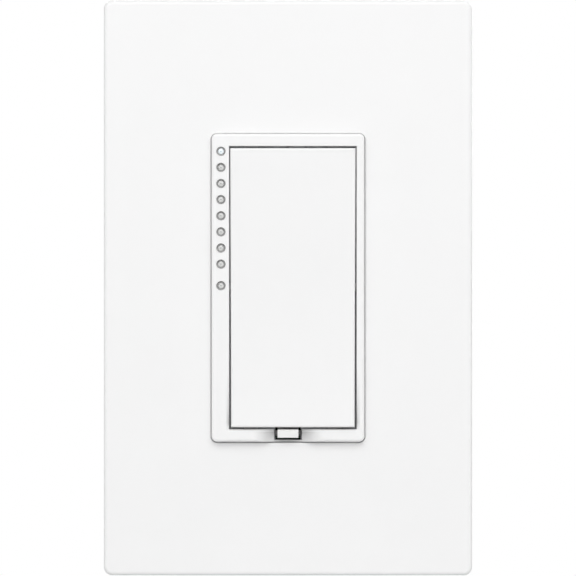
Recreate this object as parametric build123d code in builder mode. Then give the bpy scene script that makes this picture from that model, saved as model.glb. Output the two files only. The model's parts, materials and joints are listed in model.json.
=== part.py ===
from build123d import *
import math
import os

os.makedirs("parts", exist_ok=True)

# Smart dimmer switch for one wall box: a screwless wall plate, a framed rocker paddle with a column of
# indicator lights, a pull-out set button below it, and the works behind the mounting strap.
# Millimetres. The wall is the plane y = 0 and the room is on the -Y side, +X is right and +Z is up.
# A level is a distance in front of the wall, so what lies inside the wall box has a negative level.
# A depth is a distance behind the wall.

# Wall plate
plate_width = 79.4
plate_height = 123.9
plate_depth = 6.6
plate_corner = 1.8
plate_edge_round = 0.8
plate_front_wall = 1.9
plate_side_wall = 1.8
plate_inner_corner = 1.0
plate_gap = 0.12
plate_drop = 0.06
opening_edge_round = 0.25
opening_lip_wall = 1.2

# Subframe that the plate snaps on to
subframe_thickness = 2.0
subframe_clearance = 0.25
subframe_corner = 1.0
subframe_skirt = 1.6
subframe_window_gap = 0.4
lightening_slot_length = 56.0
lightening_slot_width = 8.0
box_screw_access = 5.0

# Snap ridges inside the plate
ridge_length = 8.0
ridge_reach = 0.7
ridge_height = 0.8
ridge_heights = (-44.0, 0.0, 44.0)
ridge_across = (-22.0, 22.0)
snap_play = 0.35

# Bezel that frames the paddle
bezel_end_rail = 2.7
bezel_right_rail = 1.725
bezel_front = 8.7
bezel_corner = 1.2
bezel_edge_round = 0.6
bezel_window_round = 0.25
bezel_front_wall = 1.8
bezel_wall = 1.4
scoop_width = 15.6
scoop_shoulder_depth = 2.0
scoop_depth = 3.1
scoop_boss_width = 12.4
scoop_boss_thickness = 0.6

# Bezel snap legs
leg_width = 4.0
leg_thickness = 1.0
leg_inset = 0.3
leg_spread = 10.0
hook_reach = 0.5
hook_length = 1.5
leg_play = 0.1

# Paddle
window_width = 27.45
window_height = 61.0
paddle_side_gap_top = 0.22
paddle_side_gap_bottom = 0.44
paddle_top_gap = 0.42
paddle_bottom_gap = 0.45
paddle_back = 3.6
paddle_top_proud = 0.3
paddle_middle_proud = 0.12
paddle_bottom_proud = 1.0
paddle_middle_height = 7.5
paddle_kick_height = 16.0
paddle_kick_rise = 0.06
paddle_wall = 1.1
paddle_skin = 1.6
paddle_edge_round = 0.35
paddle_rib = 1.0
paddle_rib_depth = 2.2
stop_width = 3.0
stop_reach = 1.0
stop_spread = 9.0
stop_gap = 1.3

# Paddle pivot and the posts that work the two switches
pivot_level = 4.9
pivot_pin_radius = 1.0
pivot_clearance = 0.05
pivot_pin_end_gap = 0.15
pivot_ear_thickness = 0.95
pivot_ear_gap = 0.34
pivot_ear_height = 5.0
pivot_bore_depth = 1.0
post_width = 3.0
post_thickness = 2.4
post_gap = 0.6

# Indicator lights: eight brightness levels, then one status light
level_lights = 8
top_light_drop = 1.1
light_pitch = 3.474
status_drop = 4.644
light_pipe_radius = 0.625
light_hole_play = 0.055
light_mouth_reach = 0.32
light_mouth_depth = 0.9
light_wall_gap = 0.025
light_ear_gap = 0.08
light_recess = 0.5
light_collar_radius = 1.0
light_collar_thickness = 1.2
light_gap = 0.3
lamp_width = 1.25
lamp_length = 2.0
lamp_thickness = 0.8
lamp_bevel = 0.25

# Set button, which also pulls out to open the air gap
button_width = 4.5
button_proud = 0.2
button_head = 1.0
button_edge_round = 0.2
button_neck = 3.6
button_top_gap = 0.04
button_bottom_gap = 0.46
button_side_gap = 0.75
button_slot_wall = 0.4
button_push = 0.6
button_foot = 1.2
button_play = 0.1
button_lug_overlap = 0.7
button_lug_height = 0.9
button_lug_rise = 0.225
button_lug_thickness = 1.0
button_lug_strap_gap = 0.1
paddle_notch_side_gap = 1.15
paddle_notch_front_gap = 0.7
paddle_notch_depth = 0.5

# Air-gap contacts
blade_thickness = 0.6
blade_width = 3.2
blade_engagement = 1.5
blade_clearance = 0.1
blade_seat_depth = 0.8
blade_seat_play = 0.05
blade_bevel = 0.15
leaf_thickness = 0.3
leaf_gap = 0.6
leaf_height = 2.9
leaf_pad_length = 2.4
leaf_pad_width = 1.3

# Mounting strap, which is also the heat sink
strap_thickness = 1.5
strap_end_margin = 8.95
strap_tongue_width = 22.0
strap_tongue_corner = 3.0
strap_plate_corner = 2.0
box_screw_spacing = 83.34
box_screw_hole_radius = 2.4
plate_screw_end_distance = 4.58
plaster_ear_radius = 5.2
plaster_ear_hole_radius = 1.6
plaster_ear_reach = 2.4
plaster_ear_inset = 5.8
ear_score_width = 0.6
fin_edge_margin = 6.25
fin_length = 56.0
fin_corner = 1.5
score_width = 1.2
score_depth = 0.8
fin_slot_length = 16.0
fin_slot_spacing = 26.0
ground_screw_inset = 6.45
ground_screw_drop = 4.2
ground_lug_radius = 4.6
window_play = 1.0

# Rear housing
housing_side_margin = 5.75
housing_end_margin = 1.8
housing_depth = 31.0
housing_wall = 1.8
housing_corner = 3.0
housing_edge_round = 1.6
housing_inner_corner = 1.5
boss_radius = 2.9
boss_inset = 3.7
boss_clearance = 0.3
rib_width = 3.0
rib_reach = 2.45
rib_boss_distance = 6.8
board_post_radius = 1.8
board_post_side_inset = 4.75
board_post_end_inset = 2.2
label_recess_width = 24.0
label_recess_height = 38.0
label_recess_depth = 0.4
gauge_length = 12.0
gauge_width = 2.4
gauge_depth = 0.8
gauge_edge_distance = 8.0

# Insulating liner and the two circuit boards
liner_thickness = 0.4
liner_gap = 0.3
control_board_depth = 5.0
control_board_thickness = 1.2
board_gap = 0.6
power_board_depth = 20.0
power_board_thickness = 1.6
power_board_boss_gap = 1.0

# Parts on the control board
tact_size = 6.2
tact_height = 3.5
tact_corner = 0.4
tact_plunger_radius = 1.7
tact_plunger_play = 0.08
tact_plunger_proud = 1.2
tact_plunger_bevel = 0.16
tact_travel = 0.25
tact_bore_depth = 1.4
set_tact_rise = 3.0
processor_size = 7.0
processor_height = 1.4
processor_bevel = 0.3
processor_lead_count = 8
processor_lead_pitch = 0.8
processor_lead_width = 0.35
processor_lead_reach = 1.0
processor_lead_thickness = 0.3
shield_width = 12.0
shield_length = 14.0
shield_height = 2.4
shield_edge_distance = 7.85
shield_corner = 0.6
shield_wall = 0.4
shield_vent_radius = 0.6
shield_vent_pitch = 3.0
shield_vent_rows = 3
header_pins = 6
header_pitch = 2.54
header_height = 2.5
header_x = -3.0
header_edge_distance = 5.4
header_pin = 0.64

# Parts on the power board
choke_outer_radius = 6.6
choke_inner_radius = 3.6
choke_height = 5.4
choke_wire = 0.9
choke_header_distance = 11.5
choke_arc = 310
choke_gap = 0.05
bulk_capacitor_radius = 5.0
bulk_capacitor_top_gap = 1.3
bulk_capacitor_pocket_distance = 6.65
bulk_capacitor_rise = 5.6
bulk_capacitor_bevel = 0.4
can_vent_length = 7.5
can_vent_width = 0.35
film_capacitor_thickness = 6.0
film_capacitor_top_gap = 2.8
film_capacitor_pocket_gap = 1.6
film_capacitor_inner_edge = -0.95
film_capacitor_rise = 5.4
film_capacitor_corner = 0.6
varistor_thickness = 4.0
varistor_top_gap = 3.0
varistor_bevel = 0.8
varistor_pocket_distance = 6.85
varistor_edge_distance = 6.9
lead_radius = 0.35
lead_spread = 5.0
lead_length = 0.8
fuse_radius = 4.0
fuse_height = 8.0
fuse_bevel = 0.5
fuse_pocket_distance = 4.65
fuse_edge_distance = 5.0

# Triac, which switches the lamp current, and the rivet that draws it to the strap
triac_x = 2.0
triac_width = 10.0
triac_tab_thickness = 1.3
triac_body_thickness = 4.5
triac_body_length = 9.2
triac_length = 14.6
triac_lead_pitch = 2.54
triac_lead_width = 0.8
triac_lead_thickness = 0.5
triac_lead_level = 3.0
triac_lead_drop = 1.2
triac_room = 1.5
triac_switch_gap = 0.3
rivet_rise = 11.9
rivet_radius = 1.5
rivet_head_radius = 2.6
rivet_head = 0.6
rivet_bevel = 0.25
rivet_play = 0.1
rivet_wall_gap = 0.4

# Side terminals
terminal_height = 14.0
terminal_pocket_width = 10.0
terminal_pocket_depth = 6.0
terminal_pocket_wall = 1.2
terminal_pocket_front_gap = 1.6
terminal_pocket_drop = 3.0
terminal_plate_thickness = 1.0
terminal_plate_width = 8.0
terminal_tab_width = 3.0
terminal_tab_thickness = 0.8
terminal_tab_reach = 1.2
terminal_tab_play = 0.1
terminal_screw_radius = 1.7
terminal_head_radius = 3.4
terminal_head = 2.2
terminal_head_bevel = 0.3
terminal_wire_gap = 0.9
terminal_board_gap = 0.25

# Screws
thread_clearance = 0.05
plate_screw_radius = 1.6
plate_screw_head_radius = 3.2
plate_screw_length = 6.4
plate_screw_play = 0.1
plate_screw_sink = 0.1
countersink_angle = 82
housing_screw_radius = 1.15
housing_screw_head_radius = 2.1
housing_screw_head = 1.8
housing_screw_seat_depth = 12.0
housing_screw_tip_gap = 0.3
housing_screw_play = 0.15
counterbore_play = 0.2
ground_screw_radius = 1.7
ground_screw_head_radius = 3.3
ground_screw_head = 2.4
ground_screw_standoff = 0.8
slot_width = 0.9
slot_depth = 0.9

# How far a cutting shape runs past the face that it opens
cut_overrun = 1.0
curve_overrun = 0.01

# Bezel, worked out from the sizes above. Its left rail holds, from the outside in, the side wall, the
# column of lights and the bearing ear.
ear_inset = pivot_ear_gap - paddle_side_gap_top
bezel_left_rail = (bezel_wall + light_wall_gap + 2 * light_pipe_radius + light_ear_gap
                   + pivot_ear_thickness + ear_inset)
bezel_width = bezel_left_rail + window_width + bezel_right_rail
bezel_height = window_height + 2 * bezel_end_rail
bezel_inner_front = bezel_front - bezel_front_wall
bezel_inner_half_width = bezel_width / 2 - bezel_wall
leg_outer = bezel_height / 2 - leg_inset
leg_inner = leg_outer - leg_thickness
window_shift = (bezel_left_rail - bezel_right_rail) / 2
window_left = window_shift - window_width / 2
window_bottom = -window_height / 2

# Wall plate and subframe
opening_width = bezel_width + 2 * plate_gap
opening_height = bezel_height + 2 * plate_gap
opening_corner = bezel_corner + plate_gap
plate_inner_front = plate_depth - plate_front_wall
plate_inner_width = plate_width - 2 * plate_side_wall
plate_inner_height = plate_height - 2 * plate_side_wall
subframe_front = strap_thickness + subframe_thickness
subframe_width = plate_inner_width - 2 * subframe_clearance
subframe_height = plate_inner_height - 2 * subframe_clearance

# Paddle
paddle_top = window_height / 2 - paddle_top_gap
paddle_bottom = window_bottom + paddle_bottom_gap
paddle_half_top = window_width / 2 - paddle_side_gap_top
paddle_half_bottom = window_width / 2 - paddle_side_gap_bottom
paddle_half_middle = (paddle_half_top + paddle_half_bottom) / 2
paddle_top_level = bezel_front + paddle_top_proud
paddle_middle_level = bezel_front + paddle_middle_proud
paddle_bottom_level = bezel_front + paddle_bottom_proud
paddle_inner_level = paddle_middle_level - paddle_skin
pivot_ear_right = window_left - ear_inset
pivot_ear_left = pivot_ear_right - pivot_ear_thickness
stop_level = bezel_inner_front - stop_gap

# Lights
light_x = -bezel_inner_half_width + light_wall_gap + light_pipe_radius
light_hole_radius = light_pipe_radius + light_hole_play
light_mouth_radius = light_hole_radius + light_mouth_reach
top_light_height = window_height / 2 - top_light_drop
level_light_heights = [top_light_height - light_pitch * step for step in range(level_lights)]
status_light_height = level_light_heights[-1] - status_drop
light_heights = level_light_heights + [status_light_height]
lamp_depth = control_board_depth - lamp_thickness
light_pipe_back = lamp_depth - light_gap
light_pipe_front = bezel_front - light_recess

# Set button and its contacts
button_slot_width = button_width + 2 * button_side_gap
button_slot_depth = bezel_end_rail - button_slot_wall
button_level = bezel_front + button_proud
button_top = window_bottom - button_top_gap
button_bottom = window_bottom - button_slot_depth + button_bottom_gap
set_tact_height = window_bottom + set_tact_rise
tact_top_depth = control_board_depth - tact_height
plunger_top_depth = tact_top_depth - tact_plunger_proud
post_tip_level = post_gap - plunger_top_depth
foot_back = button_push + button_play - plunger_top_depth
foot_front = foot_back + button_foot
foot_top = set_tact_height + tact_plunger_radius
lug_back = strap_thickness + button_lug_strap_gap + button_push
lug_front = lug_back + button_lug_thickness
leaf_top_depth = control_board_depth - leaf_height
blade_bottom_depth = leaf_top_depth + blade_engagement
blade_centre = (button_bottom + button_top) / 2 - blade_clearance
leaf_centre = blade_centre + blade_thickness / 2 + blade_clearance + leaf_thickness / 2

# Rear housing and boards
housing_width = bezel_width + 2 * housing_side_margin
housing_height = bezel_height + 2 * housing_end_margin
housing_inner_half_width = housing_width / 2 - housing_wall
housing_inner_half_height = housing_height / 2 - housing_wall
housing_floor_depth = housing_depth - housing_wall
boss_x = housing_width / 2 - boss_inset
boss_height = housing_height / 2 - boss_inset
boss_places = [(x, z) for x in (-boss_x, boss_x) for z in (-boss_height, boss_height)]
rib_face = housing_inner_half_width - rib_reach
rib_height = boss_height - rib_boss_distance
control_board_back = control_board_depth + control_board_thickness
control_board_half_width = housing_inner_half_width - board_gap
control_board_half_height = housing_inner_half_height - board_gap
power_board_half_width = rib_face - terminal_board_gap
power_board_half_height = boss_height - boss_radius - power_board_boss_gap
power_board_back = power_board_depth + power_board_thickness
board_room = power_board_depth - control_board_back
board_post_x = power_board_half_width - board_post_side_inset
board_post_height = power_board_half_height - board_post_end_inset

# Terminals
pocket_floor = housing_width / 2 - terminal_pocket_depth
pocket_inner_face = pocket_floor - terminal_pocket_wall
pocket_top_depth = control_board_back + terminal_pocket_front_gap + terminal_pocket_wall
pocket_bottom_depth = power_board_depth + terminal_pocket_drop
terminal_places = [(side, z) for side in (-1, 1) for z in (terminal_height, -terminal_height)]
terminal_names = ["line", "load", "neutral", "traveller"]
terminal_plate_face = pocket_floor + terminal_plate_thickness
terminal_head_face = terminal_plate_face + terminal_wire_gap
terminal_screw_depth = (pocket_top_depth + power_board_depth) / 2

# Triac, which keeps its rivet clear of the bezel's top wall, and the brighten and dim switches below it
rivet_height = bezel_height / 2 - bezel_wall - rivet_wall_gap - rivet_head_radius
triac_bottom = rivet_height - rivet_rise
triac_top = triac_bottom + triac_length
post_height = triac_bottom - triac_room - triac_switch_gap - tact_size / 2

# Parts on the boards
processor_x = (light_x + lamp_width / 2 + window_shift - tact_size / 2) / 2
shield_x = control_board_half_width - shield_edge_distance
header_drop = power_board_half_height - header_edge_distance
choke_drop = header_drop - choke_header_distance
bulk_capacitor_x = pocket_inner_face - bulk_capacitor_pocket_distance
bulk_capacitor_height = board_room - bulk_capacitor_top_gap
film_capacitor_left = film_capacitor_pocket_gap - pocket_inner_face
film_capacitor_height = board_room - film_capacitor_top_gap
varistor_x = varistor_pocket_distance - pocket_inner_face
varistor_rise = power_board_half_height - varistor_edge_distance
varistor_radius = (board_room - lead_length - varistor_top_gap) / 2
fuse_x = pocket_inner_face - fuse_pocket_distance
fuse_drop = power_board_half_height - fuse_edge_distance

# Strap
strap_length = plate_height - 2 * strap_end_margin
plate_screw_spacing = strap_length - 2 * plate_screw_end_distance
fin_root = housing_width / 2 - score_width
fin_outer = plate_width / 2 - fin_edge_margin
ear_x = strap_tongue_width / 2 + plaster_ear_reach
ear_height = strap_length / 2 - plaster_ear_inset
ear_places = [(x, z) for x in (-ear_x, ear_x) for z in (-ear_height, ear_height)]
ground_place = (housing_width / 2 - ground_screw_inset, -housing_height / 2 - ground_screw_drop)
box_screw_places = [(0, box_screw_spacing / 2), (0, -box_screw_spacing / 2)]
plate_screw_places = [(0, plate_screw_spacing / 2), (0, -plate_screw_spacing / 2)]


def facing(level):
    """A plane parallel to the wall, that many millimetres in front of it, looking into the room."""
    return Plane.XZ.offset(level)


def side_face(x):
    """A plane square to X, whose own axes are Y and Z."""
    return Plane.YZ.offset(x)


def around(middle, length):
    """The two ends of a stretch of that length, centred on a middle."""
    return middle - length / 2, middle + length / 2


def block(x_range, z_range, back_level, front_level, mode=Mode.ADD):
    """A rectangular block between two levels, given by its left and right and its bottom and top."""
    with BuildSketch(facing(back_level)) as profile:
        with Locations(((x_range[0] + x_range[1]) / 2, (z_range[0] + z_range[1]) / 2)):
            Rectangle(abs(x_range[1] - x_range[0]), abs(z_range[1] - z_range[0]))
    extrude(profile.sketch, amount=front_level - back_level, mode=mode)


def rod(place, radius, back_level, front_level, mode=Mode.ADD):
    """A round rod along Y between two levels."""
    with BuildSketch(facing(back_level)) as profile:
        with Locations(place):
            Circle(radius)
    extrude(profile.sketch, amount=front_level - back_level, mode=mode)


def driver_slot(place, head_radius, from_level, to_level):
    """A straight driver slot across a screw head that faces along Y."""
    block(around(place[0], 2 * head_radius), around(place[1], slot_width), from_level, to_level,
          mode=Mode.SUBTRACT)


def front_edges(piece):
    """The edges of a piece's foremost face."""
    return piece.faces().sort_by(Axis.Y)[0].edges()


def save(piece, name):
    """Labels a finished piece and writes its file."""
    piece.part.label = name
    export_step(piece.part, f"parts/{name}.step")


def works_windows():
    """Openings that let the works pass the strap and its liner: posts, lights, set button, snap legs."""
    with Locations((window_shift, post_height), (window_shift, -post_height)):
        Rectangle(post_width + 2 * window_play, post_thickness + 2 * window_play, mode=Mode.SUBTRACT)
    with Locations((light_x, (top_light_height + status_light_height) / 2)):
        SlotOverall(top_light_height - status_light_height + 2 * light_pipe_radius + window_play,
                    2 * light_pipe_radius + window_play / 2, rotation=90, mode=Mode.SUBTRACT)
    set_window_top = foot_top + window_play / 2
    set_window_bottom = button_bottom - window_play / 2
    with Locations((0, (set_window_top + set_window_bottom) / 2)):
        Rectangle(button_width + window_play, set_window_top - set_window_bottom, mode=Mode.SUBTRACT)
    for end in (-1, 1):
        leg_middle = end * (leg_inner + leg_outer) / 2
        with Locations((-leg_spread, leg_middle), (leg_spread, leg_middle)):
            Rectangle(leg_width + 2 * leg_play, leg_thickness + 2 * leg_play, mode=Mode.SUBTRACT)
    with Locations((triac_x, rivet_height)):
        Circle(rivet_radius + rivet_play, mode=Mode.SUBTRACT)


# Wall plate cover: a shallow moulded shell with a raised lip behind its opening. Ridges inside its rim
# snap behind the edge of the subframe, so no screw shows.
with BuildPart() as wallplate_cover:
    with BuildSketch(facing(0)):
        with Locations((0, -plate_drop)):
            RectangleRounded(plate_width, plate_height, plate_corner)
    extrude(amount=plate_depth)
    fillet(front_edges(wallplate_cover), plate_edge_round)
    with BuildSketch(facing(0)):
        with Locations((0, -plate_drop)):
            RectangleRounded(plate_inner_width, plate_inner_height, plate_inner_corner)
    extrude(amount=plate_inner_front, mode=Mode.SUBTRACT)
    with BuildSketch(facing(subframe_front)):
        with Locations((0, -plate_drop)):
            RectangleRounded(opening_width + 2 * opening_lip_wall, opening_height + 2 * opening_lip_wall,
                             opening_corner + opening_lip_wall)
    extrude(amount=plate_inner_front - subframe_front)
    with BuildSketch(facing(0)):
        with Locations((0, -plate_drop)):
            RectangleRounded(opening_width, opening_height, opening_corner)
    extrude(amount=plate_depth, mode=Mode.SUBTRACT)
    opening_rim = wallplate_cover.faces().sort_by(Axis.Y)[0].inner_wires()[0]
    fillet(opening_rim.edges(), opening_edge_round)
    ridge_back = snap_play - strap_thickness
    ridge_peak = ridge_back + ridge_height / 3
    ridge_front = ridge_back + ridge_height
    for side in (-1, 1):
        wall_x = side * plate_inner_width / 2
        for ridge_z in ridge_heights:
            with BuildSketch(Plane.XY.offset(ridge_z - ridge_length / 2)):
                with BuildLine():
                    Polyline((wall_x, ridge_back), (wall_x - side * ridge_reach, ridge_peak),
                             (wall_x, ridge_front), close=True)
                make_face()
            extrude(amount=ridge_length)
        wall_z = side * plate_inner_height / 2 - plate_drop
        for ridge_x in ridge_across:
            with BuildSketch(side_face(ridge_x - ridge_length / 2)):
                with BuildLine():
                    Polyline((ridge_back, wall_z), (ridge_peak, wall_z - side * ridge_reach),
                             (ridge_front, wall_z), close=True)
                make_face()
            extrude(amount=ridge_length)
save(wallplate_cover, "wallplate_cover")

# Wall plate subframe: a flat frame screwed to the strap, with a skirt that stands on the wall. The skirt
# is cut away behind each snap ridge.
with BuildPart() as wallplate_subframe:
    with BuildSketch(facing(strap_thickness)):
        RectangleRounded(subframe_width, subframe_height, subframe_corner)
        RectangleRounded(bezel_width + 2 * subframe_window_gap, bezel_height + 2 * subframe_window_gap,
                         bezel_corner, mode=Mode.SUBTRACT)
        with Locations(*box_screw_places):
            Circle(box_screw_access, mode=Mode.SUBTRACT)
        slot_x = (subframe_width / 2 + bezel_width / 2) / 2
        with Locations((slot_x, 0), (-slot_x, 0)):
            SlotOverall(lightening_slot_length, lightening_slot_width, rotation=90, mode=Mode.SUBTRACT)
    extrude(amount=subframe_thickness)
    with BuildSketch(facing(0)):
        RectangleRounded(subframe_width, subframe_height, subframe_corner)
        Rectangle(subframe_width - 2 * subframe_skirt, subframe_height - 2 * subframe_skirt,
                  mode=Mode.SUBTRACT)
        skirt_gap = ridge_length + 2 * snap_play
        skirt_cut = 2 * (subframe_skirt + cut_overrun)
        with Locations(*[(side * subframe_width / 2, z) for side in (-1, 1) for z in ridge_heights]):
            Rectangle(skirt_cut, skirt_gap, mode=Mode.SUBTRACT)
        with Locations(*[(x, side * subframe_height / 2) for side in (-1, 1) for x in ridge_across]):
            Rectangle(skirt_gap, skirt_cut, mode=Mode.SUBTRACT)
    extrude(amount=strap_thickness)
    with Locations(facing(subframe_front)):
        with Locations(*plate_screw_places):
            CounterSinkHole(plate_screw_radius + plate_screw_play, plate_screw_head_radius + plate_screw_play,
                            counter_sink_angle=countersink_angle)
save(wallplate_subframe, "wallplate_subframe")

# The two countersunk screws that hold the subframe to the strap.
head_slope = math.tan(math.radians(countersink_angle / 2))
head_back = subframe_front - plate_screw_sink - (plate_screw_head_radius - plate_screw_radius) / head_slope
for end, place in zip(("top", "bottom"), plate_screw_places):
    with BuildPart() as plate_screw:
        rod(place, plate_screw_radius, subframe_front - plate_screw_length, head_back)
        with BuildSketch(facing(head_back)):
            with Locations(place):
                Circle(plate_screw_radius)
        with BuildSketch(facing(subframe_front - plate_screw_sink)):
            with Locations(place):
                Circle(plate_screw_head_radius)
        loft()
        driver_slot(place, plate_screw_head_radius, subframe_front - slot_depth, subframe_front)
    save(plate_screw, f"plate_screw_{end}")

# Bezel: the framed front of the switch. It carries the paddle between a bearing ear on the left and a
# blind bore in its right wall, has a mouth for each light, and a thumbnail scoop round the set button. A
# boss behind the scoop keeps its wall whole and stops the button's lugs.
with BuildPart() as bezel:
    with BuildSketch(facing(strap_thickness)):
        RectangleRounded(bezel_width, bezel_height, bezel_corner)
    extrude(amount=bezel_front - strap_thickness)
    fillet(front_edges(bezel), bezel_edge_round)
    with BuildSketch(facing(strap_thickness)):
        Rectangle(bezel_width - 2 * bezel_wall, bezel_height - 2 * bezel_wall)
    extrude(amount=bezel_inner_front - strap_thickness, mode=Mode.SUBTRACT)
    block(around(0, scoop_boss_width), (bezel_wall / 2 - bezel_height / 2, window_bottom),
          bezel_inner_front - scoop_boss_thickness, bezel_inner_front)
    with BuildSketch(facing(bezel_inner_front)):
        with Locations((window_shift, 0)):
            Rectangle(window_width, window_height)
    extrude(amount=bezel_front_wall, mode=Mode.SUBTRACT)
    face = bezel.faces().sort_by(Axis.Y)[0]
    fillet(face.inner_wires()[0].edges(), bezel_window_round)
    with BuildSketch(Plane.XY.offset(-bezel_height / 2 - cut_overrun)):
        with BuildLine():
            dip = Spline((-scoop_width / 2, -bezel_front),
                         (-button_slot_width / 2, -bezel_front + scoop_shoulder_depth),
                         (0, -bezel_front + scoop_depth),
                         (button_slot_width / 2, -bezel_front + scoop_shoulder_depth),
                         (scoop_width / 2, -bezel_front), tangents=[(1, 0), (1, 0)])
            Polyline(dip @ 1, (scoop_width / 2, -bezel_front - cut_overrun),
                     (-scoop_width / 2, -bezel_front - cut_overrun), dip @ 0)
        make_face()
    extrude(amount=bezel_end_rail + 2 * cut_overrun, mode=Mode.SUBTRACT)
    block(around(0, button_slot_width), (window_bottom - button_slot_depth, window_bottom),
          strap_thickness, bezel_front, mode=Mode.SUBTRACT)
    block((pivot_ear_left, pivot_ear_right), around(0, pivot_ear_height),
          pivot_level - pivot_ear_height / 2, bezel_inner_front)
    with BuildSketch(side_face(pivot_ear_left)):
        with Locations((-pivot_level, 0)):
            Circle(pivot_pin_radius + pivot_clearance)
    extrude(amount=bezel_inner_half_width + pivot_bore_depth - pivot_ear_left, mode=Mode.SUBTRACT)
    with Locations(facing(bezel_front)):
        with Locations(*[(light_x, z) for z in light_heights]):
            CounterBoreHole(light_hole_radius, light_mouth_radius, light_mouth_depth,
                            depth=bezel_front_wall + cut_overrun)
    catch = liner_thickness + leg_play
    for end in (-1, 1):
        for leg_x in (-leg_spread, leg_spread):
            with BuildSketch(side_face(leg_x - leg_width / 2)):
                with BuildLine():
                    Polyline((-strap_thickness - bezel_wall, end * leg_outer),
                             (catch, end * leg_outer),
                             (catch + hook_length, end * (leg_outer - leg_inset)),
                             (catch + hook_length, end * leg_inner),
                             (catch, end * (leg_inner - hook_reach)),
                             (catch, end * leg_inner),
                             (-strap_thickness - bezel_wall, end * leg_inner), close=True)
                make_face()
            extrude(amount=leg_width)
save(bezel, "bezel")


def paddle_corners(inset):
    """The paddle's corners seen from the room: it is a little narrower at its foot than at its top."""
    return [(window_shift - paddle_half_top + inset, paddle_top - inset),
            (window_shift + paddle_half_top - inset, paddle_top - inset),
            (window_shift + paddle_half_bottom - inset, paddle_bottom + inset),
            (window_shift - paddle_half_bottom + inset, paddle_bottom + inset)]


# Paddle: a hollow rocker whose face sweeps out of the bezel at its foot. It rocks on two pins at its
# middle; a post behind each half works a switch through the strap.
with BuildPart() as paddle:
    with BuildSketch(facing(paddle_back)):
        with BuildLine():
            Polyline(*paddle_corners(0), close=True)
        make_face()
    extrude(amount=paddle_bottom_level + cut_overrun - paddle_back)
    with BuildSketch(side_face(window_left - cut_overrun)):
        with BuildLine():
            face_curve = Spline((-paddle_bottom_level, paddle_bottom - curve_overrun),
                                (-paddle_middle_level - paddle_kick_rise, paddle_bottom + paddle_kick_height),
                                (-paddle_middle_level, paddle_middle_height),
                                (-paddle_top_level, paddle_top + curve_overrun))
            Polyline(face_curve @ 1, (-paddle_bottom_level - 2 * cut_overrun, paddle_top + cut_overrun),
                     (-paddle_bottom_level - 2 * cut_overrun, paddle_bottom - cut_overrun), face_curve @ 0)
        make_face()
    extrude(amount=window_width + 2 * cut_overrun, mode=Mode.SUBTRACT)
    fillet(front_edges(paddle), paddle_edge_round)
    with BuildSketch(facing(paddle_back)):
        with BuildLine():
            Polyline(*paddle_corners(paddle_wall), close=True)
        make_face()
    extrude(amount=paddle_inner_level - paddle_back, mode=Mode.SUBTRACT)
    skin_middle = paddle_inner_level + paddle_skin / 2
    rib_span = around(window_shift, 2 * paddle_half_bottom - paddle_wall)
    for half in (-1, 1):
        for rib_z in (post_height, (post_height + paddle_top) / 2):
            block(rib_span, around(half * rib_z, paddle_rib),
                  paddle_inner_level - paddle_rib_depth, skin_middle)
        block(around(window_shift, post_width), around(half * post_height, post_thickness),
              post_tip_level, skin_middle)
        edge = paddle_top if half > 0 else paddle_bottom
        stop_range = sorted((edge - half * paddle_wall / 2, edge + half * stop_reach))
        for stop_x in (window_shift - stop_spread, window_shift + stop_spread):
            block(around(stop_x, stop_width), stop_range, paddle_back, stop_level)
    block(around(0, button_width + 2 * paddle_notch_side_gap),
          (paddle_bottom - cut_overrun, paddle_bottom + paddle_wall + paddle_notch_depth),
          paddle_back, bezel_inner_front - paddle_notch_front_gap, mode=Mode.SUBTRACT)
    pin_left_end = pivot_ear_left + pivot_pin_end_gap
    pin_right_end = bezel_inner_half_width + pivot_bore_depth - pivot_pin_end_gap
    for pin_start, pin_end in ((window_shift - paddle_half_middle + paddle_wall / 2, pin_left_end),
                               (window_shift + paddle_half_middle - paddle_wall / 2, pin_right_end)):
        with BuildSketch(side_face(pin_start)):
            with Locations((-pivot_level, 0)):
                Circle(pivot_pin_radius)
        extrude(amount=pin_end - pin_start)
save(paddle, "paddle")

# Light pipes: eight clear posts moulded on one bar behind the liner, and a separate one for status.
collar_back = -liner_thickness - light_collar_thickness
with BuildPart() as level_light_pipes:
    for z in level_light_heights:
        rod((light_x, z), light_pipe_radius, -light_pipe_back, light_pipe_front)
    with BuildSketch(facing(collar_back)):
        with Locations((light_x, (level_light_heights[0] + level_light_heights[-1]) / 2)):
            SlotOverall(level_light_heights[0] - level_light_heights[-1] + 2 * light_collar_radius,
                        2 * light_collar_radius, rotation=90)
    extrude(amount=light_collar_thickness)
save(level_light_pipes, "level_light_pipes")

with BuildPart() as status_light_pipe:
    rod((light_x, status_light_height), light_pipe_radius, -light_pipe_back, light_pipe_front)
    rod((light_x, status_light_height), light_collar_radius, collar_back, -liner_thickness)
save(status_light_pipe, "status_light_pipe")

# Set button: a small tab on a neck, with lugs that stop it under the bezel and a foot that lies over the
# set switch. A brass blade stands in the foot.
blade_front = foot_back + blade_seat_depth
with BuildPart() as set_button:
    button_middle = (button_bottom + button_top) / 2
    block(around(0, button_width), (button_bottom, button_top), button_level - button_head, button_level)
    fillet(front_edges(set_button), button_edge_round)
    block(around(0, button_neck), (button_bottom, button_top), foot_front, button_level - button_head)
    block(around(0, button_width), (button_bottom, foot_top), foot_back, foot_front)
    block(around(0, button_slot_width + 2 * button_lug_overlap),
          around(button_middle + button_lug_rise, button_lug_height), lug_back, lug_front)
    block(around(0, blade_width + 2 * blade_seat_play),
          around(blade_centre, blade_thickness + 2 * blade_seat_play),
          foot_back, blade_front, mode=Mode.SUBTRACT)
save(set_button, "set_button")

with BuildPart() as air_gap_blade:
    block(around(0, blade_width), around(blade_centre, blade_thickness),
          -blade_bottom_depth, blade_front - blade_seat_play)
    blade_tip = air_gap_blade.faces().sort_by(Axis.Y)[-1].edges().filter_by(Axis.X)
    chamfer(blade_tip, blade_bevel)
save(air_gap_blade, "air_gap_blade")

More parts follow.
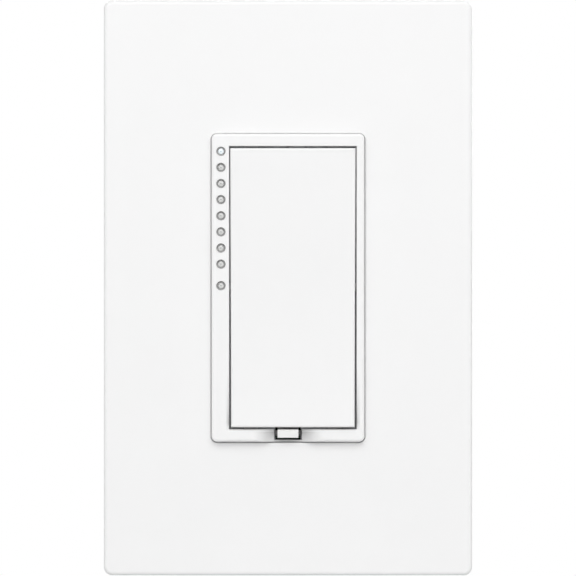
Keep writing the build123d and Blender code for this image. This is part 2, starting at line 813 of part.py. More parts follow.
# The two fixed contacts that the blade bridges: a leaf on a foot that is soldered to the board.
leaf_face = leaf_centre + leaf_thickness / 2
for side, name in ((-1, "air_gap_contact_left"), (1, "air_gap_contact_right")):
    with BuildPart() as air_gap_contact:
        leaf_inner = side * leaf_gap / 2
        leaf_outer = side * blade_width / 2
        block(sorted((leaf_inner, leaf_outer)), around(leaf_centre, leaf_thickness),
              -control_board_depth, -leaf_top_depth)
        block(sorted((leaf_outer - side * leaf_thickness, leaf_outer + side * leaf_pad_length)),
              (leaf_face - leaf_pad_width, leaf_face),
              -control_board_depth, -control_board_depth + leaf_thickness)
    save(air_gap_contact, name)

# Mounting strap: one punched aluminium plate. Its tongues take the box screws and the plate screws, the
# round plaster ears and the side fins break off at their scores.
with BuildPart() as mounting_strap:
    with BuildSketch(facing(0)):
        RectangleRounded(housing_width, housing_height, strap_plate_corner)
        RectangleRounded(strap_tongue_width, strap_length, strap_tongue_corner)
        with Locations(*ear_places):
            Circle(plaster_ear_radius)
        with Locations(ground_place):
            Circle(ground_lug_radius)
        with Locations((ground_place[0], ground_place[1] + ground_lug_radius)):
            Rectangle(2 * ground_lug_radius, 2 * ground_lug_radius)
        fin_centre = (fin_root + fin_outer) / 2
        with Locations((fin_centre, 0), (-fin_centre, 0)):
            RectangleRounded(fin_outer - fin_root, fin_length, fin_corner)
        score_x = housing_width / 2 + score_width / 2
        with Locations(*[(x, z) for x in (-score_x, score_x) for z in around(0, fin_slot_spacing)]):
            SlotOverall(fin_slot_length, score_width, rotation=90, mode=Mode.SUBTRACT)
        with Locations(*ear_places):
            Circle(plaster_ear_hole_radius, mode=Mode.SUBTRACT)
        with Locations(*box_screw_places):
            Circle(box_screw_hole_radius, mode=Mode.SUBTRACT)
        with Locations(*plate_screw_places):
            Circle(plate_screw_radius + thread_clearance, mode=Mode.SUBTRACT)
        with Locations(*boss_places):
            Circle(housing_screw_radius + thread_clearance, mode=Mode.SUBTRACT)
        with Locations(ground_place):
            Circle(ground_screw_radius + thread_clearance, mode=Mode.SUBTRACT)
        works_windows()
    extrude(amount=strap_thickness)
    with BuildSketch(facing(strap_thickness)):
        with Locations((score_x, 0), (-score_x, 0)):
            Rectangle(score_width, fin_length)
        ear_score_x = strap_tongue_width / 2 + ear_score_width
        with Locations(*[(x, z) for x in (-ear_score_x, ear_score_x) for z in (-ear_height, ear_height)]):
            Rectangle(ear_score_width, 2 * plaster_ear_radius)
    extrude(amount=-score_depth, mode=Mode.SUBTRACT)
save(mounting_strap, "mounting_strap")

# Insulating liner between the strap and the works.
boss_cut = 2 * (boss_radius + boss_clearance)
with BuildPart() as insulating_liner:
    with BuildSketch(facing(-liner_thickness)):
        Rectangle(2 * (housing_inner_half_width - liner_gap), 2 * (housing_inner_half_height - liner_gap))
        with Locations(*boss_places):
            Rectangle(boss_cut, boss_cut, mode=Mode.SUBTRACT)
        works_windows()
    extrude(amount=liner_thickness)
save(insulating_liner, "insulating_liner")

# Control board, cut back round the screw bosses and round the triac that is riveted to the strap.
with BuildPart() as control_board:
    with BuildSketch(facing(-control_board_back)):
        Rectangle(2 * control_board_half_width, 2 * control_board_half_height)
        with Locations(*boss_places):
            Rectangle(boss_cut, boss_cut, mode=Mode.SUBTRACT)
        triac_cut_bottom = triac_bottom - triac_room
        with Locations((triac_x, (triac_cut_bottom + control_board_half_height) / 2)):
            Rectangle(triac_width + 2 * triac_room, control_board_half_height - triac_cut_bottom,
                      mode=Mode.SUBTRACT)
    extrude(amount=control_board_thickness)
save(control_board, "control_board")

# The lamps behind the light pipes.
for number, z in enumerate(light_heights, start=1):
    with BuildPart() as lamp:
        block(around(light_x, lamp_width), around(z, lamp_length), -control_board_depth, -lamp_depth)
        chamfer(front_edges(lamp).filter_by(Axis.X), lamp_bevel)
    save(lamp, f"level_lamp_{number}" if number <= level_lights else "status_lamp")

# Three push switches: each a body with a round bore, and a plunger that travels in it.
for name, tact_x, tact_z in (("brighten", window_shift, post_height), ("dim", window_shift, -post_height),
                             ("set", 0, set_tact_height)):
    with BuildPart() as tact_body:
        with BuildSketch(facing(-control_board_depth)):
            with Locations((tact_x, tact_z)):
                RectangleRounded(tact_size, tact_size, tact_corner)
        extrude(amount=tact_height)
        rod((tact_x, tact_z), tact_plunger_radius + tact_plunger_play,
            -tact_top_depth - tact_bore_depth, -tact_top_depth, mode=Mode.SUBTRACT)
    save(tact_body, f"{name}_switch")
    with BuildPart() as tact_plunger:
        rod((tact_x, tact_z), tact_plunger_radius,
            -tact_top_depth - tact_bore_depth + tact_travel + tact_plunger_play, -plunger_top_depth)
        chamfer(front_edges(tact_plunger), tact_plunger_bevel)
    save(tact_plunger, f"{name}_plunger")

# Processor, with gull leads on its four sides.
lead_foot = -control_board_depth + processor_lead_thickness
with BuildPart() as processor:
    block(around(processor_x, processor_size), around(0, processor_size),
          -control_board_depth + processor_lead_thickness / 2, -control_board_depth + processor_height)
    chamfer(front_edges(processor), processor_bevel)
    lead_start = -(processor_lead_count - 1) / 2 * processor_lead_pitch
    lead_span = processor_size + 2 * processor_lead_reach
    for step in range(processor_lead_count):
        along = lead_start + step * processor_lead_pitch
        block(around(processor_x, lead_span), around(along, processor_lead_width),
              -control_board_depth, lead_foot)
        block(around(processor_x + along, processor_lead_width), around(0, lead_span),
              -control_board_depth, lead_foot)
save(processor, "processor")

# Shield can over the radio: a thin drawn lid with vents.
with BuildPart() as radio_shield:
    with BuildSketch(facing(-control_board_depth)):
        with Locations((shield_x, 0)):
            RectangleRounded(shield_width, shield_length, shield_corner)
    extrude(amount=shield_height)
    block(around(shield_x, shield_width - 2 * shield_wall), around(0, shield_length - 2 * shield_wall),
          -control_board_depth, -control_board_depth + shield_height - shield_wall, mode=Mode.SUBTRACT)
    with BuildSketch(facing(-control_board_depth + shield_height)):
        with Locations((shield_x, 0)):
            with GridLocations(shield_vent_pitch, shield_vent_pitch, shield_vent_rows, shield_vent_rows):
                Circle(shield_vent_radius)
    extrude(amount=-2 * shield_wall, mode=Mode.SUBTRACT)
save(radio_shield, "radio_shield")

# Header that joins the two boards: a strip behind the control board, with pins to the power board.
header_back = -control_board_back - header_height
with BuildPart() as board_header:
    block(around(header_x, header_pins * header_pitch), around(-header_drop, header_pitch),
          header_back, -control_board_back)
    for step in range(header_pins):
        pin_x = header_x + (step - (header_pins - 1) / 2) * header_pitch
        block(around(pin_x, header_pin), around(-header_drop, header_pin), -power_board_depth, header_back)
save(board_header, "board_header")

# Power board, narrower beside the terminal pockets.
with BuildPart() as power_board:
    with BuildSketch(facing(-power_board_back)):
        Rectangle(2 * power_board_half_width, 2 * power_board_half_height)
        pocket_board_half = pocket_inner_face - terminal_board_gap
        notch_width = power_board_half_width - pocket_board_half
        notch_length = terminal_pocket_width + 2 * (terminal_pocket_wall + terminal_board_gap)
        for side, z in terminal_places:
            with Locations((side * (pocket_board_half + notch_width / 2), z)):
                Rectangle(notch_width, notch_length, mode=Mode.SUBTRACT)
    extrude(amount=power_board_thickness)
save(power_board, "power_board")

# Choke: a ring core with its winding left open over part of the turn.
core_front = -power_board_depth + choke_wire + choke_gap + choke_height
with BuildPart() as choke_core:
    with BuildSketch(facing(core_front - choke_height)):
        with Locations((0, -choke_drop)):
            Circle(choke_outer_radius)
            Circle(choke_inner_radius, mode=Mode.SUBTRACT)
    extrude(amount=choke_height)
save(choke_core, "choke_core")

with BuildPart() as choke_winding:
    core_width = choke_outer_radius - choke_inner_radius
    wire_reach = 2 * (choke_gap + choke_wire)
    with BuildSketch(Plane.XY.offset(-choke_drop)):
        with Locations(((choke_inner_radius + choke_outer_radius) / 2, -core_front + choke_height / 2)):
            Rectangle(core_width + wire_reach, choke_height + wire_reach)
            Rectangle(core_width + 2 * choke_gap, choke_height + 2 * choke_gap, mode=Mode.SUBTRACT)
    revolve(axis=Axis((0, 0, -choke_drop), (0, 1, 0)), revolution_arc=choke_arc)
save(choke_winding, "choke_winding")

# Capacitors, varistor and fuse stand on the power board.
with BuildPart() as bulk_capacitor:
    can_place = (bulk_capacitor_x, bulk_capacitor_rise)
    can_front = -power_board_depth + bulk_capacitor_height
    rod(can_place, bulk_capacitor_radius, -power_board_depth, can_front)
    chamfer(front_edges(bulk_capacitor), bulk_capacitor_bevel)
    with BuildSketch(facing(can_front)):
        with Locations(can_place):
            Rectangle(can_vent_length, can_vent_width)
            Rectangle(can_vent_width, can_vent_length)
    extrude(amount=-can_vent_width, mode=Mode.SUBTRACT)
save(bulk_capacitor, "bulk_capacitor")

with BuildPart() as film_capacitor:
    block((film_capacitor_left, film_capacitor_inner_edge),
          around(film_capacitor_rise, film_capacitor_thickness),
          -power_board_depth, -power_board_depth + film_capacitor_height)
    fillet(film_capacitor.edges().filter_by(Axis.Y), film_capacitor_corner)
save(film_capacitor, "film_capacitor")

with BuildPart() as varistor:
    disc_depth = power_board_depth - lead_length - varistor_radius
    with BuildSketch(Plane.XY.offset(varistor_rise - varistor_thickness / 2)):
        with Locations((varistor_x, disc_depth)):
            Circle(varistor_radius)
    extrude(amount=varistor_thickness)
    chamfer(varistor.edges().filter_by(GeomType.CIRCLE), varistor_bevel)
    for side in (-1, 1):
        rod((varistor_x + side * lead_spread / 2, varistor_rise), lead_radius,
            -power_board_depth, -disc_depth)
save(varistor, "varistor")

with BuildPart() as fuse:
    rod((fuse_x, -fuse_drop), fuse_radius, -power_board_depth, -power_board_depth + fuse_height)
    chamfer(front_edges(fuse), fuse_bevel)
save(fuse, "fuse")

# Triac: its metal tab lies on the liner under the strap, and a rivet through both draws it tight.
tab_back = -liner_thickness - triac_tab_thickness
rivet_place = (triac_x, rivet_height)
with BuildPart() as triac:
    triac_span = around(triac_x, triac_width)
    block(triac_span, (triac_bottom, triac_top), tab_back, -liner_thickness)
    block(triac_span, (triac_bottom, triac_bottom + triac_body_length),
          -liner_thickness - triac_body_thickness, -liner_thickness)
    rod(rivet_place, rivet_radius + rivet_play, tab_back, -liner_thickness, mode=Mode.SUBTRACT)
    lead_top = -triac_lead_level + triac_lead_thickness / 2
    lead_bottom = triac_bottom - triac_lead_drop
    for step in (-1, 0, 1):
        lead_range = around(triac_x + step * triac_lead_pitch, triac_lead_width)
        block(lead_range, (lead_bottom, triac_bottom), lead_top - triac_lead_thickness, lead_top)
        block(lead_range, (lead_bottom, lead_bottom + triac_lead_thickness), -power_board_depth, lead_top)
save(triac, "triac")

with BuildPart() as triac_rivet:
    rod(rivet_place, rivet_radius, tab_back, strap_thickness)
    rod(rivet_place, rivet_head_radius, strap_thickness, strap_thickness + rivet_head)
    chamfer(front_edges(triac_rivet), rivet_bevel)
    rod(rivet_place, rivet_head_radius, tab_back - rivet_head, tab_back)
save(triac_rivet, "triac_rivet")

# Rear housing: a deep moulded cup. Bosses in its corners take the long screws, ribs and posts carry the
# two boards, and a pocket in each side wall holds a terminal.
with BuildPart() as rear_housing:
    with BuildSketch(facing(-housing_depth)):
        RectangleRounded(housing_width, housing_height, housing_corner)
    extrude(amount=housing_depth)
    fillet(rear_housing.faces().sort_by(Axis.Y)[-1].edges(), housing_edge_round)
    with BuildSketch(facing(-housing_floor_depth)):
        RectangleRounded(2 * housing_inner_half_width, 2 * housing_inner_half_height, housing_inner_corner)
        with Locations(*boss_places):
            Circle(boss_radius, mode=Mode.SUBTRACT)
    extrude(amount=housing_floor_depth, mode=Mode.SUBTRACT)
    with BuildSketch(facing(-housing_floor_depth)):
        rib_x = (rib_face + housing_inner_half_width) / 2
        with Locations(*[(side * rib_x, z) for side in (-1, 1) for z in (-rib_height, 0, rib_height)]):
            Rectangle(rib_reach, rib_width)
    extrude(amount=housing_floor_depth - control_board_back)
    with BuildSketch(facing(-housing_floor_depth)):
        with Locations(*[(x, z) for x in (-board_post_x, board_post_x)
                         for z in (-board_post_height, board_post_height)]):
            Circle(board_post_radius)
    extrude(amount=housing_floor_depth - power_board_back)
    wall_middle = housing_inner_half_width + housing_wall / 2
    for side, z in terminal_places:
        block(sorted((side * pocket_inner_face, side * wall_middle)),
              around(z, terminal_pocket_width + 2 * terminal_pocket_wall),
              -pocket_bottom_depth - terminal_pocket_wall, -pocket_top_depth + terminal_pocket_wall)
        block(sorted((side * pocket_floor, side * (housing_width / 2 + cut_overrun))),
              around(z, terminal_pocket_width), -pocket_bottom_depth, -pocket_top_depth, mode=Mode.SUBTRACT)
        block(sorted((side * (pocket_inner_face - cut_overrun), side * pocket_floor)),
              around(z, terminal_tab_width + 2 * terminal_tab_play), -power_board_depth - terminal_tab_play,
              -power_board_depth + terminal_tab_thickness + terminal_tab_play, mode=Mode.SUBTRACT)
    with Locations(facing(-housing_depth).rotated((0, 180, 0))):
        with Locations(*boss_places):
            CounterBoreHole(housing_screw_radius + housing_screw_play,
                            housing_screw_head_radius + counterbore_play,
                            housing_depth - housing_screw_seat_depth)
    with BuildSketch(facing(-housing_depth)):
        RectangleRounded(label_recess_width, label_recess_height, housing_corner)
    extrude(amount=label_recess_depth, mode=Mode.SUBTRACT)
    with BuildSketch(facing(-housing_depth)):
        with Locations((0, gauge_edge_distance - housing_height / 2)):
            SlotOverall(gauge_length, gauge_width)
    extrude(amount=gauge_depth, mode=Mode.SUBTRACT)
save(rear_housing, "rear_housing")

# Four long screws from the back of the housing into the strap.
long_head_back = -housing_screw_seat_depth - housing_screw_head
for corner, place in zip(("bottom_left", "top_left", "bottom_right", "top_right"), boss_places):
    with BuildPart() as housing_screw:
        rod(place, housing_screw_radius, -housing_screw_seat_depth, strap_thickness - housing_screw_tip_gap)
        rod(place, housing_screw_head_radius, long_head_back, -housing_screw_seat_depth)
        driver_slot(place, housing_screw_head_radius, long_head_back, long_head_back + slot_depth)
    save(housing_screw, f"housing_screw_{corner}")

# Side terminals: a bent brass plate in each pocket, and its binding screw.
screw_start = pocket_floor + thread_clearance
for name, (side, z) in zip(terminal_names, terminal_places):
    with BuildPart() as terminal_plate:
        block(sorted((side * pocket_floor, side * terminal_plate_face)), around(z, terminal_plate_width),
              -power_board_depth, -pocket_top_depth - terminal_plate_thickness)
        block(sorted((side * (pocket_inner_face - terminal_tab_reach), side * terminal_plate_face)),
              around(z, terminal_tab_width), -power_board_depth, -power_board_depth + terminal_tab_thickness)
        with BuildSketch(side_face(side * pocket_floor)):
            with Locations((terminal_screw_depth, z)):
                Circle(terminal_screw_radius + thread_clearance)
        extrude(amount=side * terminal_plate_thickness, mode=Mode.SUBTRACT)
    save(terminal_plate, f"{name}_terminal")
    with BuildPart() as terminal_screw:
        with BuildSketch(side_face(side * screw_start)):
            with Locations((terminal_screw_depth, z)):
                Circle(terminal_screw_radius)
        extrude(amount=side * (terminal_head_face - screw_start))
        with BuildSketch(side_face(side * terminal_head_face)):
            with Locations((terminal_screw_depth, z)):
                Circle(terminal_head_radius)
        extrude(amount=side * terminal_head)
        outer_edge = terminal_screw.faces().sort_by(Axis.X)[-1 if side > 0 else 0].edges()
        chamfer(outer_edge, terminal_head_bevel)
        with BuildSketch(side_face(side * (terminal_head_face + terminal_head))):
            with Locations((terminal_screw_depth, z)):
                Rectangle(slot_width, 2 * terminal_head_radius)
        extrude(amount=-side * slot_depth, mode=Mode.SUBTRACT)
    save(terminal_screw, f"{name}_terminal_screw")

# Ground screw: a hexagon head behind the strap's lug.
ground_head_back = -ground_screw_standoff - ground_screw_head
with BuildPart() as ground_screw:
    rod(ground_place, ground_screw_radius, -ground_screw_standoff, strap_thickness)
    with BuildSketch(facing(ground_head_back)):
        with Locations(ground_place):
            RegularPolygon(ground_screw_head_radius, 6)
    extrude(amount=ground_screw_head)
    driver_slot(ground_place, ground_screw_head_radius, ground_head_back, ground_head_back + slot_depth)
save(ground_screw, "ground_screw")
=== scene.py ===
# %% [markdown]
# # Dressing a smart dimmer switch
# The solids of the switch come from its CAD model: the wall plate, the framed rocker, the set button and
# the works behind the strap. This script gives every surface its finish, adds the few small forms that a
# solid model leaves plain, and lights the switch as a catalogue picture does. It starts with the frame,
# which holds the CAD pieces at their real place and size, in metres.

# %% Load the frame
import json
import math
import bmesh
import bpy
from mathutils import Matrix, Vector


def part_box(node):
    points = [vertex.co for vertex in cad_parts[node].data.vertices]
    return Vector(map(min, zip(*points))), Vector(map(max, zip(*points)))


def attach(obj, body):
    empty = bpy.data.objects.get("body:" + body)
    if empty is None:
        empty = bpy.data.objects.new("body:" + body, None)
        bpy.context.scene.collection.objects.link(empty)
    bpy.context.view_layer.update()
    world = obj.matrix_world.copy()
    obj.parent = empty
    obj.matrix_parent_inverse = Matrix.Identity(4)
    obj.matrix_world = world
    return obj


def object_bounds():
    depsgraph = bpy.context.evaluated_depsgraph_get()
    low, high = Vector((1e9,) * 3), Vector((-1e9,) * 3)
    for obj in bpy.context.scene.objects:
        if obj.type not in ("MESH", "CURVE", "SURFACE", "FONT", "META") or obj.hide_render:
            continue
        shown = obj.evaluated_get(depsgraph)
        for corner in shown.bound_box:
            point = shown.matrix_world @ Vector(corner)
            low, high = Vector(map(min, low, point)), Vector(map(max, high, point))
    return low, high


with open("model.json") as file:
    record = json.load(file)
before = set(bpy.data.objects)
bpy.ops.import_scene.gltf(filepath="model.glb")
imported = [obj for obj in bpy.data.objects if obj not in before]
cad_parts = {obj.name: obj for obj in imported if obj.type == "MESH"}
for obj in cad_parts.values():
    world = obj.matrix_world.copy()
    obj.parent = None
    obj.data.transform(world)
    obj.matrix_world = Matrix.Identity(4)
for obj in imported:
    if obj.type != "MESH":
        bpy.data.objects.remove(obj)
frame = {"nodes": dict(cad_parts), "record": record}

MM = 0.001
cad_low, cad_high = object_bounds()
print("CAD box in mm:", [round(side / MM, 2) for side in cad_high - cad_low])

# %% [markdown]
# ## Camera
# The picture is a front view with no visible perspective. A camera without perspective could take it, but a
# long lens from far away gives the same front view and looks natural from other sides too. Its length
# follows from one known size: the picture shows 124.2 mm at the face of the wall plate. The camera looks
# along +Y and stands level with the picture's middle, a hair below the middle of the switch.

# %% Camera
PICTURE_WIDTH = 124.2 * MM
PICTURE_MIDDLE_HEIGHT = -0.06 * MM
CAMERA_DISTANCE = 3.0
CLIP_START = 0.01
SENSOR = 36.0            # width in mm, as is the lens

plate_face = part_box("wallplate_cover")[0].y
camera_data = bpy.data.cameras.new("front_camera")
camera_data.sensor_width = SENSOR
camera_data.lens = SENSOR * CAMERA_DISTANCE / PICTURE_WIDTH
camera_data.clip_start = CLIP_START
camera = bpy.data.objects.new("front_camera", camera_data)
bpy.context.scene.collection.objects.link(camera)
camera.location = (0, plate_face - CAMERA_DISTANCE, PICTURE_MIDDLE_HEIGHT)
camera.rotation_euler = (math.radians(90), 0, 0)
bpy.context.scene.camera = camera
print("lens in mm:", round(camera_data.lens))

# %% [markdown]
# ## Helpers for materials
# A finish is a few nodes that feed one shader. Each could be wired line by line, but a few functions keep it
# short enough to read. Colours are picked as sRGB hex values, as a paint chart gives them, and a shader
# wants them linear, so one function converts them. Another adds a node with its settings and links; a node
# that is given as an input stands for its first output.

# %% Colours, nodes and empty materials
def linear(hex_colour):
    """Turns an sRGB hex colour such as "f2f2f0" into the linear colour that a shader takes."""
    channels = [int(hex_colour[place:place + 2], 16) / 255 for place in (0, 2, 4)]
    return [c / 12.92 if c <= 0.04045 else ((c + 0.055) / 1.055) ** 2.4 for c in channels] + [1.0]


def add(tree, kind, inputs=None, **settings):
    """Adds a node, gives it its settings, and fills or links its inputs."""
    node = tree.nodes.new(kind)
    for name, value in settings.items():
        setattr(node, name, value)
    for name, value in (inputs or {}).items():
        if isinstance(value, bpy.types.Node):
            value = next(socket for socket in value.outputs if socket.enabled)
        if isinstance(value, bpy.types.NodeSocket):
            tree.links.new(value, node.inputs[name])
        else:
            node.inputs[name].default_value = value
    return node


def new_material(name):
    """An empty material with its shader and its Object coordinates: returns material, tree, shader, place."""
    material = bpy.data.materials.new(name)
    material.use_nodes = True
    tree = material.node_tree
    tree.nodes.clear()
    shader = add(tree, "ShaderNodeBsdfPrincipled")
    add(tree, "ShaderNodeOutputMaterial", {"Surface": shader})
    place = add(tree, "ShaderNodeTexCoord").outputs["Object"]
    return material, tree, shader, place


print("middle grey, 808080, as a linear colour:", [round(channel, 3) for channel in linear("808080")])

# %% [markdown]
# ## Patterns at their real size
# No real surface is even: its colour, its gloss and its relief wander a little. Image textures could carry
# that, but noise needs no files and never repeats. The patterns read Object coordinates: every piece has its
# place in its mesh, so these are metres on the real switch, and a pattern's scale is one divided by the size
# of its grain. A finish names a pattern and its two ends for the tint and for the gloss, and a pattern and a
# depth for the relief.

# %% Grain and dress
def grain(tree, place, size_mm, detail=2.0, stretch=(1, 1, 1)):
    """Soft blobs about size_mm wide; a stretch below 1 draws them out along that axis."""
    stretched = add(tree, "ShaderNodeMapping", {"Vector": place, "Scale": stretch})
    blobs = add(tree, "ShaderNodeTexNoise", {"Vector": stretched, "Scale": 1 / (size_mm * MM),
                                             "Detail": detail})
    return blobs.outputs["Fac"]


def dress(tree, shader, tint=None, gloss=None, relief=None):
    """tint: pattern and two colours. gloss: pattern and two roughnesses. relief: pattern and depth in mm."""
    if tint:
        pattern, light, dark = tint
        mix = add(tree, "ShaderNodeMix", {"Factor": pattern, "A": linear(light), "B": linear(dark)},
                  data_type="RGBA")
        tree.links.new(mix.outputs["Result"], shader.inputs["Base Color"])
    if gloss:
        pattern, sharp, dull = gloss
        ranged = add(tree, "ShaderNodeMapRange", {"Value": pattern, "To Min": sharp, "To Max": dull})
        tree.links.new(ranged.outputs["Result"], shader.inputs["Roughness"])
    if relief:
        pattern, depth_mm = relief
        bumps = add(tree, "ShaderNodeBump", {"Height": pattern, "Distance": depth_mm * MM})
        tree.links.new(bumps.outputs["Normal"], shader.inputs["Normal"])


print("a 0.9 mm grain has a noise scale of", round(1 / (0.9 * MM)))

# %% [markdown]
# ## Plastics
# The plate, bezel, paddle and button are polycarbonate, injection moulded in polished tools, so they are
# smooth, white and softly glossy, with a faint flow mottle. The housing is black glass-filled nylon from a
# spark-eroded tool, whose fine grain catches the light. Each could be its own tree of nodes, but they differ
# only in colour, gloss and grain, so one function makes the whole family. Each pair of roughness limits
# stays on one side of 0.27: the noise cleaner treats sharper surfaces in another way, so a patch that
# crossed it would show as a faint stain.

# %% Moulded plastic
PLASTIC_IOR = 1.5
GLOSS_PATCH = 1.5        # gloss wanders in patches this many times as wide as the tint's

finish_of_slot = {}      # from a material slot of the record to its material


def moulded_plastic(name, light, dark, gloss, grain_mm, depth_mm, patch_mm=14.0):
    """Injection moulded plastic: gloss is the pair of roughness limits, grain the tool's texture."""
    material, tree, shader, place = new_material(name)
    shader.inputs["IOR"].default_value = PLASTIC_IOR
    dress(tree, shader, tint=(grain(tree, place, patch_mm), light, dark),
          gloss=(grain(tree, place, GLOSS_PATCH * patch_mm), *gloss),
          relief=(grain(tree, place, grain_mm), depth_mm))
    return material


finish_of_slot.update(
    # Polished polycarbonate, snow white: a wide soft sheen and almost no grain.
    plate_plastic=moulded_plastic("white_polycarbonate_plate", "f4f4f4", "f2f2f2", gloss=(0.30, 0.36),
                                  grain_mm=0.9, depth_mm=0.0008),
    bezel_plastic=moulded_plastic("white_polycarbonate_bezel", "f4f4f4", "f2f2f2", gloss=(0.28, 0.33),
                                  grain_mm=0.9, depth_mm=0.0006),
    paddle_plastic=moulded_plastic("white_polycarbonate_paddle", "f3f3f3", "f1f1f1", gloss=(0.28, 0.33),
                                   grain_mm=0.9, depth_mm=0.0006),
    button_plastic=moulded_plastic("white_polycarbonate_button", "f1f1f1", "edeceb", gloss=(0.28, 0.35),
                                   grain_mm=0.7, depth_mm=0.0012),
    # The subframe is hidden under the plate, so its tool is left dull.
    subframe_plastic=moulded_plastic("white_abs_subframe", "e4e4e1", "dcdcd8", gloss=(0.42, 0.55),
                                     grain_mm=0.6, depth_mm=0.006),
    # Glass-filled nylon: dull black, mottled where the fibres come near the skin. The mottle is really finer
    # than half a millimetre; it is drawn at 1.6 mm, so that it shows.
    housing_plastic=moulded_plastic("black_filled_nylon", "171719", "2e2e32", gloss=(0.40, 0.56),
                                    grain_mm=0.6, depth_mm=0.06, patch_mm=1.6))
print("plastics of the case:", len(finish_of_slot))

# %% [markdown]
# ## Plastics of the works
# Behind the strap each part keeps the look that its maker gives it, and the colours tell them apart: black
# switches and chips, a yellow film capacitor, a blue varistor. They are moulded, dipped or pressed, and the
# same function covers them all, with smaller patches because the parts are small.

# %% Plastics of the works
finish_of_slot.update(
    # The push switches are dull black nylon; their plungers are acetal, waxy and bright red, easy to find.
    switch_plastic=moulded_plastic("black_nylon_switch", "1a1a1c", "232325", gloss=(0.35, 0.45),
                                   grain_mm=0.4, depth_mm=0.004, patch_mm=3.0),
    plunger_plastic=moulded_plastic("red_acetal_plunger", "c24a33", "ad3d29", gloss=(0.28, 0.38),
                                    grain_mm=0.4, depth_mm=0.002, patch_mm=2.0),
    # Epoxy packages of chips: a dusty black that hardly shines.
    chip_resin=moulded_plastic("black_epoxy_package", "1c1c1d", "2a2a2b", gloss=(0.5, 0.65),
                               grain_mm=0.2, depth_mm=0.004, patch_mm=1.5),
    # The film capacitor's case has a soft sheen; the varistor is dipped in epoxy, so it looks wet and lumpy.
    capacitor_box=moulded_plastic("yellow_film_capacitor_case", "d6a92c", "c99b20", gloss=(0.3, 0.4),
                                  grain_mm=0.5, depth_mm=0.003, patch_mm=4.0),
    varistor_coating=moulded_plastic("blue_epoxy_dip", "2b5c9e", "234d88", gloss=(0.16, 0.26),
                                     grain_mm=1.2, depth_mm=0.03, patch_mm=3.0),
    # Shrunk sleeve of the bulk capacitor: thin film, dark blue and glossy.
    capacitor_sleeve=moulded_plastic("dark_blue_sleeve", "1f2a4a", "26325a", gloss=(0.17, 0.26),
                                     grain_mm=0.8, depth_mm=0.004, patch_mm=4.0),
    # Phenolic of the fuse: dark brown, half dull. Resin of the lamps: cream and clean.
    fuse_case=moulded_plastic("brown_phenolic_fuse", "5e2f24", "4d261d", gloss=(0.3, 0.42),
                              grain_mm=0.5, depth_mm=0.004, patch_mm=3.0),
    lamp_resin=moulded_plastic("cream_lamp_resin", "efe9cf", "e4dcb8", gloss=(0.28, 0.36),
                               grain_mm=0.3, depth_mm=0.002, patch_mm=1.0),
    # Ferrite is fired ceramic and the liner is pressed paper: both quite matt, one grey, one brownish black.
    core_ferrite=moulded_plastic("grey_ferrite", "3f4144", "4b4d50", gloss=(0.55, 0.7),
                                 grain_mm=0.3, depth_mm=0.01, patch_mm=2.0),
    liner_film=moulded_plastic("black_fish_paper", "26251f", "302f28", gloss=(0.6, 0.75),
                               grain_mm=0.35, depth_mm=0.006, patch_mm=5.0))
# A matt grey ring in each light's mouth: its grey is painted shade, the dark ring that the deep mouth shows
# round each dot.
shade_ring_rubber = moulded_plastic("grey_silicone_seal", "b6b6b5", "ababaa", gloss=(0.55, 0.7),
                              grain_mm=0.3, depth_mm=0.004, patch_mm=1.5)
print("slots with a finish so far:", len(finish_of_slot))

# %% [markdown]
# ## Painted shade on the frame
# The bezel dips into a thumbnail scoop round the set button, where its white falls off to a soft grey, and
# its rails turn grey beside the paddle's proud foot. Part of that is shade, which the lamps give; the rest
# is painted shade, a greyer tone in the colour that deepens the lamps' shade there. The tone could be painted
# on a map, but it lies at known places on the piece, so it is mixed in by Object coordinates: in the scoop
# from its ends towards the slot, and on the rails close to the foot, stronger the further down.

# %% Shares of painted shade
SCOOP_END = 7.6 * MM
SCOOP_FULL_SHADE = 4.6 * MM
WINDOW_MIDDLE = 1.05 * MM
WINDOW_HALF_WIDTH = 13.72 * MM
RAIL_REACH = 0.85 * MM
RAIL_SHADE_TOP = -14.5 * MM
RAIL_SHADE_FULL = -29.0 * MM
RAIL_SHADE_END = -30.9 * MM
paddle_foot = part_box("paddle")[0].z


# Painted shade in the scoop: a share that grows from the scoop's ends towards the slot.
def in_scoop(tree, across, up):
    """1 in the middle of the scoop and 0 at its ends, only under the paddle."""
    aside = add(tree, "ShaderNodeMath", {0: across}, operation="ABSOLUTE")
    inward = add(tree, "ShaderNodeMapRange", {"Value": aside, "From Min": SCOOP_END,
                                              "From Max": SCOOP_FULL_SHADE})
    below = add(tree, "ShaderNodeMath", {0: up, 1: paddle_foot}, operation="LESS_THAN")
    return add(tree, "ShaderNodeMath", {0: inward, 1: below}, operation="MULTIPLY")


# Painted shade on the rails: a share that grows towards the paddle's proud foot.
def beside_foot(tree, across, up):
    """1 on the rails right beside the paddle's foot, 0 further out and further up."""
    off_middle = add(tree, "ShaderNodeMath", {0: across, 1: WINDOW_MIDDLE}, operation="SUBTRACT")
    aside = add(tree, "ShaderNodeMath", {0: off_middle}, operation="ABSOLUTE")
    share = add(tree, "ShaderNodeMapRange", {"Value": aside, "From Min": WINDOW_HALF_WIDTH + RAIL_REACH,
                                             "From Max": WINDOW_HALF_WIDTH})
    # The rise from the top counts twice, so that it starts softly.
    for start in (RAIL_SHADE_TOP, RAIL_SHADE_TOP, RAIL_SHADE_END):
        near = add(tree, "ShaderNodeMapRange", {"Value": up, "From Min": start, "From Max": RAIL_SHADE_FULL})
        share = add(tree, "ShaderNodeMath", {0: share, 1: near}, operation="MULTIPLY")
    return share


print("foot of the paddle in mm:", round(paddle_foot / MM, 2))
